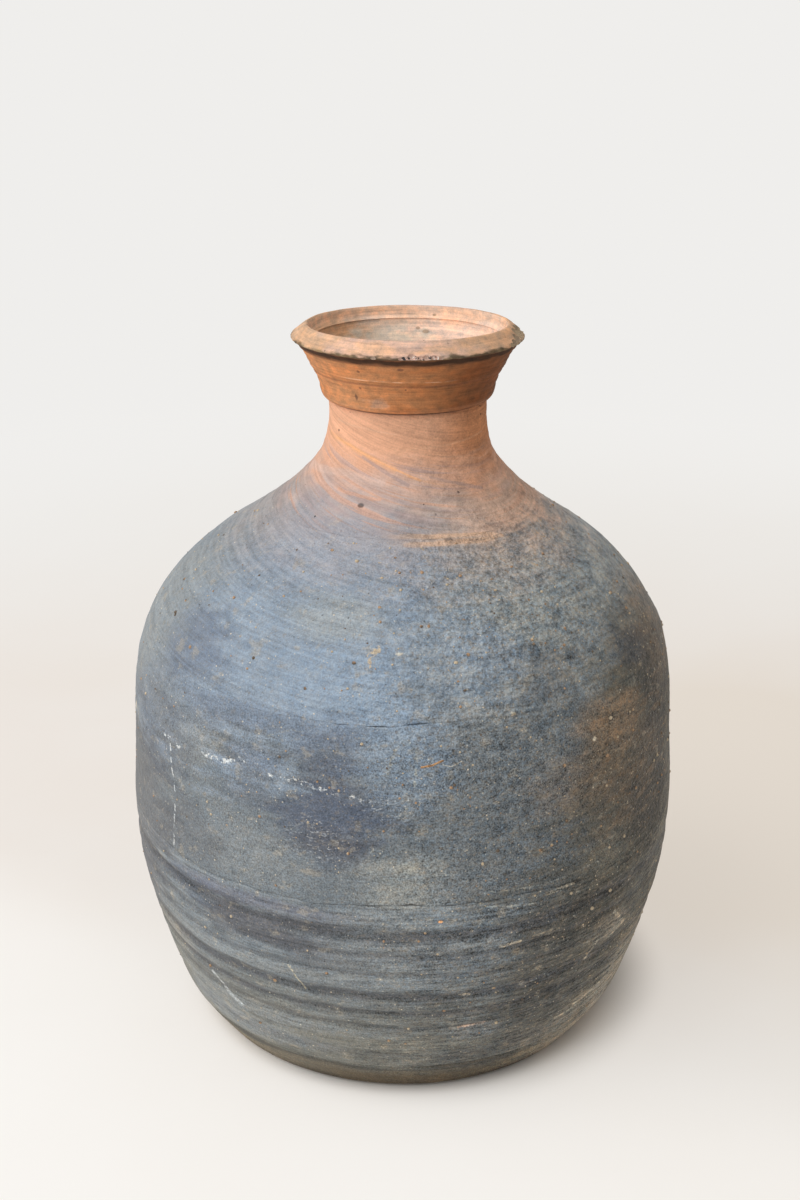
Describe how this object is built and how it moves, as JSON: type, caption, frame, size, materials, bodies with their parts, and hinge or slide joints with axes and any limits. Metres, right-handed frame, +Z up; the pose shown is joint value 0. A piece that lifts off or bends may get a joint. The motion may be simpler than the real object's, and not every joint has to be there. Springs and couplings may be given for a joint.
{
  "type": "rice wine jar",
  "caption": "Round-bellied unglazed earthenware jar with a narrow neck, flared collar and bevelled lip, for brewing, storing and pouring rice wine.",
  "frame": {"origin": "centre of the round belly, on the ground that the foot stands on", "axes": "+Z up the jar to its mouth, +X to the side that the neck leans to, -Y the front"},
  "size_m": [0.3, 0.3, 0.3896],
  "materials": {
    "foot_clay": "unglazed, scraped, brown and matt",
    "smoked_clay": "unglazed, smoke-blackened blue-grey with a dull sheen",
    "shoulder_clay": "unglazed, blue-grey fading to red-brown, matt",
    "red_clay": "unglazed terracotta with fine wheel lines, matt",
    "lip_clay": "unglazed pale terracotta, worn and chipped, matt"
  },
  "bodies": {
    "root": {"foot": "foot_clay", "lower_wall": "smoked_clay", "belly_wall": "smoked_clay", "shoulder": "shoulder_clay", "neck": "red_clay", "collar": "red_clay", "lip": "lip_clay"}
  },
  "joints": []
}
